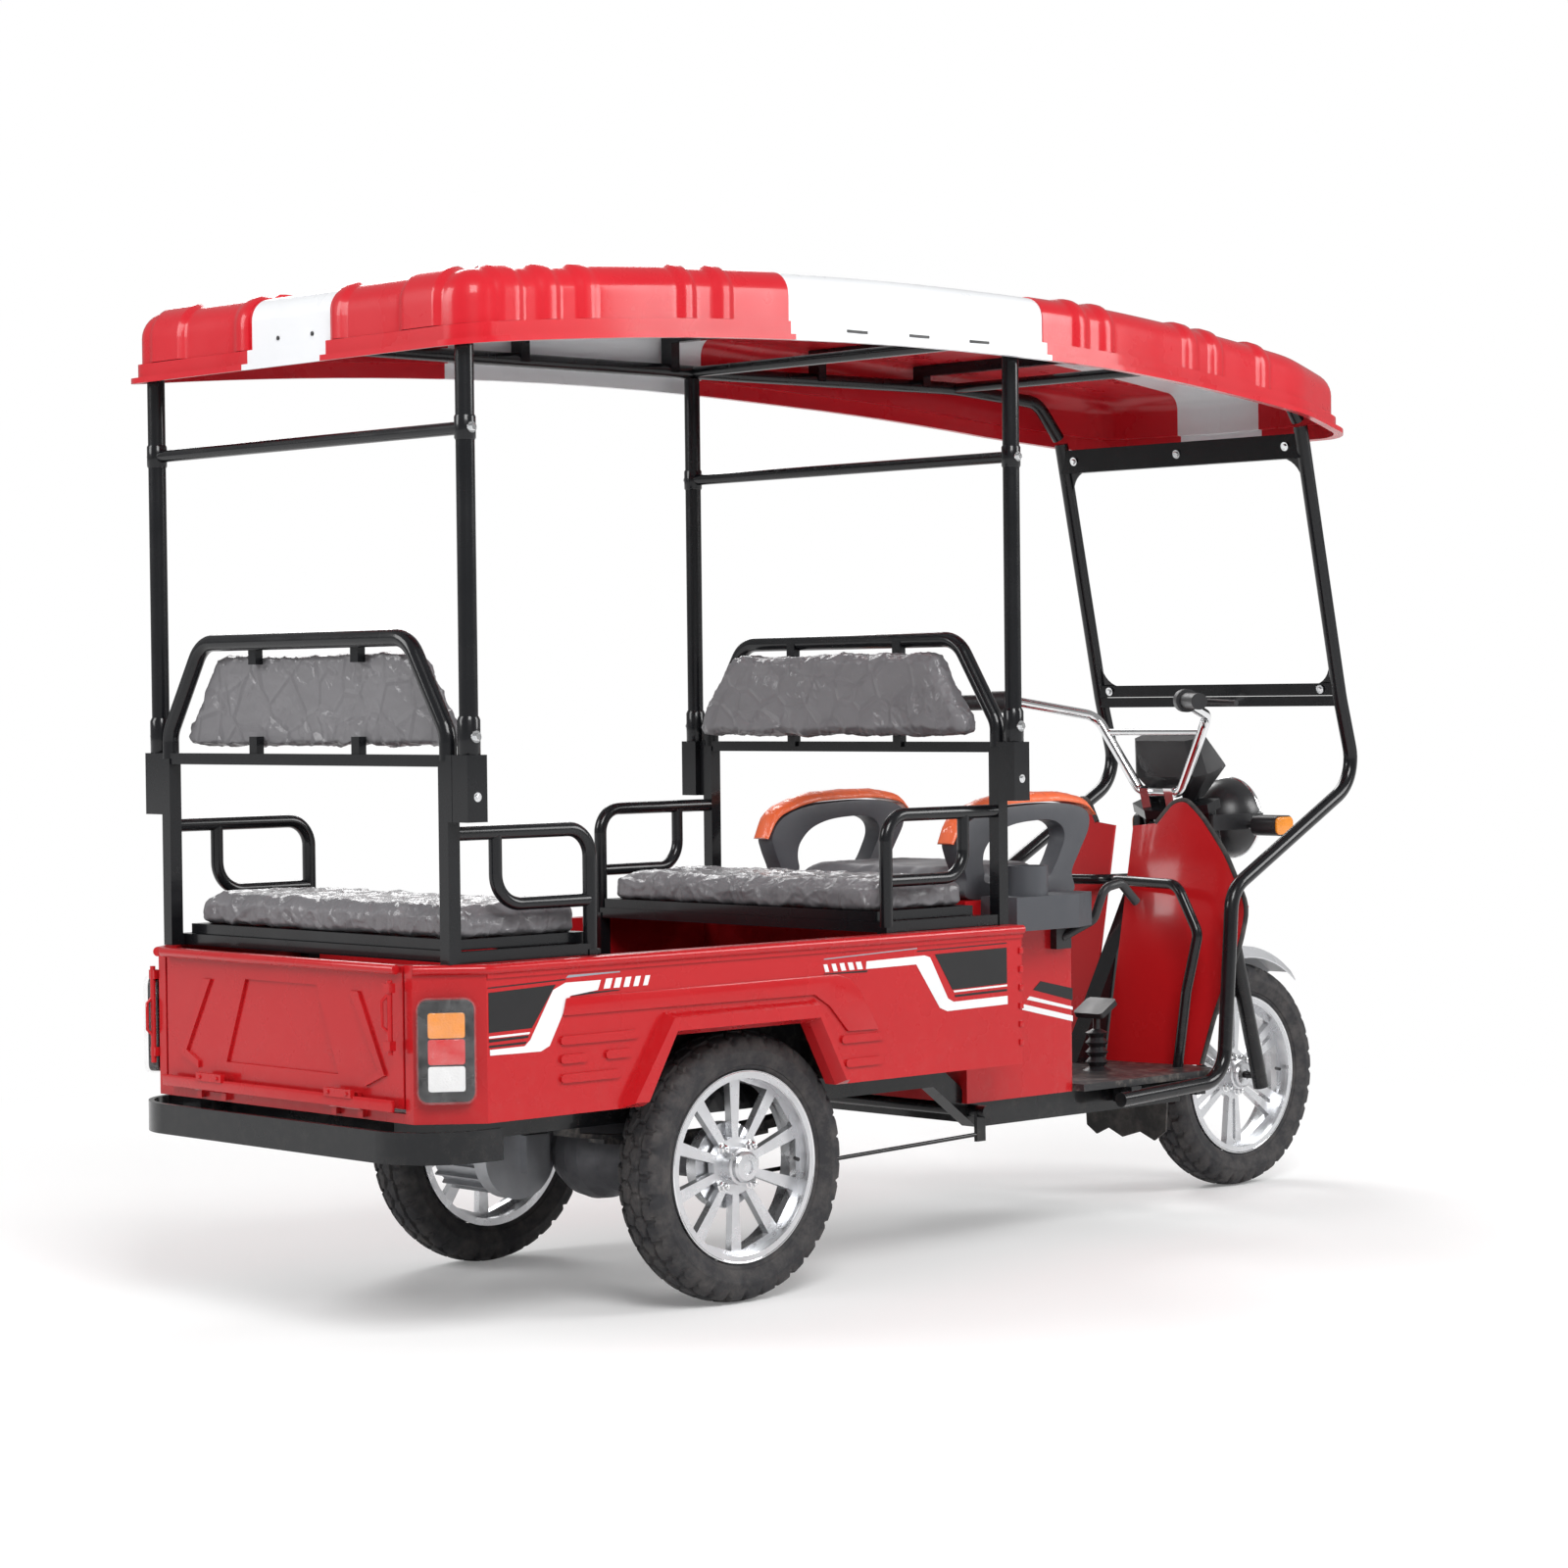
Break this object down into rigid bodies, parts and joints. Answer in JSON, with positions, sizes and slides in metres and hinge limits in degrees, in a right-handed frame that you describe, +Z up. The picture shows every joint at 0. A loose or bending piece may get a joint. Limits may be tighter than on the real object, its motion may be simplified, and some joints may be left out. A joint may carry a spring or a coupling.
{
  "type": "electric passenger tricycle",
  "caption": "Open electric passenger tricycle with a roofed load bed, facing bench seats, a driver seat and single steered front wheel.",
  "frame": {"origin": "on the ground, under the middle of the overall length", "axes": "+X forward, +Y left, +Z up"},
  "size_m": [2.846, 1.02, 1.8509],
  "materials": {
    "tyre_rubber": "matte, dusty tread",
    "rim_silver": "silver paint, semi-gloss",
    "frame_black": "black enamel, semi-gloss",
    "axle_grey": "dark cast and machined steel",
    "motor_grey": "finned cast housing",
    "spring_steel": "black spring steel",
    "body_red": "gloss red enamel",
    "roof_red": "moulded gloss red plastic",
    "roof_white": "moulded gloss white plastic",
    "lamp_housing": "red, amber and clear lenses",
    "seat_grey": "grey vinyl under clear film",
    "pad_orange": "orange vinyl under clear film",
    "plastic_grey": "dark grey moulding",
    "tray_grey": "light grey moulding",
    "plastic_black": "black moulding",
    "shield_red": "red moulding with dark edging",
    "chrome": "bright chrome plate",
    "mudguard_silver": "silver paint, semi-gloss",
    "lamp_chrome": "black bowl, chrome rim and clear lens",
    "flap_rubber": "moulded black rubber",
    "deck_black": "black steel plate",
    "battery_case": "plain battery cases"
  },
  "bodies": {
    "chassis": {"main_frame": "frame_black", "rear_axle": "axle_grey", "drive_motor": "motor_grey", "rear_springs": "spring_steel", "bed_floor": "deck_black", "bed_side_right": "body_red", "bed_side_left": "body_red", "bed_front_wall": "body_red", "bed_tail_frame": "body_red", "tail_lamps": "lamp_housing", "rear_bumper": "frame_black", "canopy_posts": "frame_black", "canopy_cross_bars": "frame_black", "roof_cross": "roof_white", "roof_corner_rear_left": "roof_red", "roof_corner_rear_right": "roof_red", "roof_corner_front_left": "roof_red", "roof_corner_front_right": "roof_red", "roof_frame": "frame_black", "rear_bench_frame": "frame_black", "rear_bench_back_cushion": "seat_grey", "middle_bench_frame": "frame_black", "middle_bench_back_cushion": "seat_grey", "driver_seat_box": "body_red", "battery_pack": "battery_case", "driver_cushion": "seat_grey", "driver_armrests": "plastic_grey", "armrest_pads": "pad_orange", "cup_tray": "tray_grey", "parking_brake_lever": "plastic_black", "footboard": "deck_black", "leg_shield": "shield_red", "knee_bars": "frame_black", "windscreen_frame": "frame_black", "foot_brake": "plastic_black", "brake_linkage": "frame_black", "mudflaps": "flap_rubber"},
    "rear_wheel_left": {"rear_left_tyre": "tyre_rubber", "rear_left_rim": "rim_silver"},
    "rear_wheel_right": {"rear_right_tyre": "tyre_rubber", "rear_right_rim": "rim_silver"},
    "front_wheel": {"front_tyre": "tyre_rubber", "front_rim": "rim_silver"},
    "steering": {"front_fork": "frame_black", "handlebar": "chrome", "grips_and_levers": "plastic_black", "instrument_pod": "plastic_black", "headlamp": "lamp_chrome", "front_mudguard": "mudguard_silver"},
    "tailgate": {"tailgate": "body_red"},
    "rear_bench_seat": {"rear_bench_seat_frame": "frame_black", "rear_bench_cushion": "seat_grey"},
    "middle_bench_seat": {"middle_bench_seat_frame": "frame_black", "middle_bench_cushion": "seat_grey"}
  },
  "joints": [
    {"name": "rear_left_spin", "type": "hinge", "parent": "chassis", "child": "rear_wheel_left", "pos_m": [-0.655, 0.358, 0.246], "axis": [0, 1, 0], "continuous": true},
    {"name": "rear_right_spin", "type": "hinge", "parent": "chassis", "child": "rear_wheel_right", "pos_m": [-0.655, -0.358, 0.246], "axis": [0, 1, 0], "continuous": true},
    {"name": "steer", "type": "hinge", "parent": "chassis", "child": "steering", "pos_m": [1.13023, 0, 0.246], "axis": [-0.2723, 0, 0.9622], "range_deg": [-35, 35]},
    {"name": "front_spin", "type": "hinge", "parent": "steering", "child": "front_wheel", "pos_m": [1.177, 0, 0.246], "axis": [0, 1, 0], "continuous": true},
    {"name": "tailgate_drop", "type": "hinge", "parent": "chassis", "child": "tailgate", "pos_m": [-1.394, 0, 0.406], "axis": [0, -1, 0], "range_deg": [0, 120]},
    {"name": "rear_bench_lift", "type": "hinge", "parent": "chassis", "child": "rear_bench_seat", "pos_m": [-1.303, 0, 0.6703], "axis": [0, -1, 0], "range_deg": [0, 75]},
    {"name": "middle_bench_lift", "type": "hinge", "parent": "chassis", "child": "middle_bench_seat", "pos_m": [-0.046, 0, 0.6703], "axis": [0, 1, 0], "range_deg": [0, 75]}
  ]
}
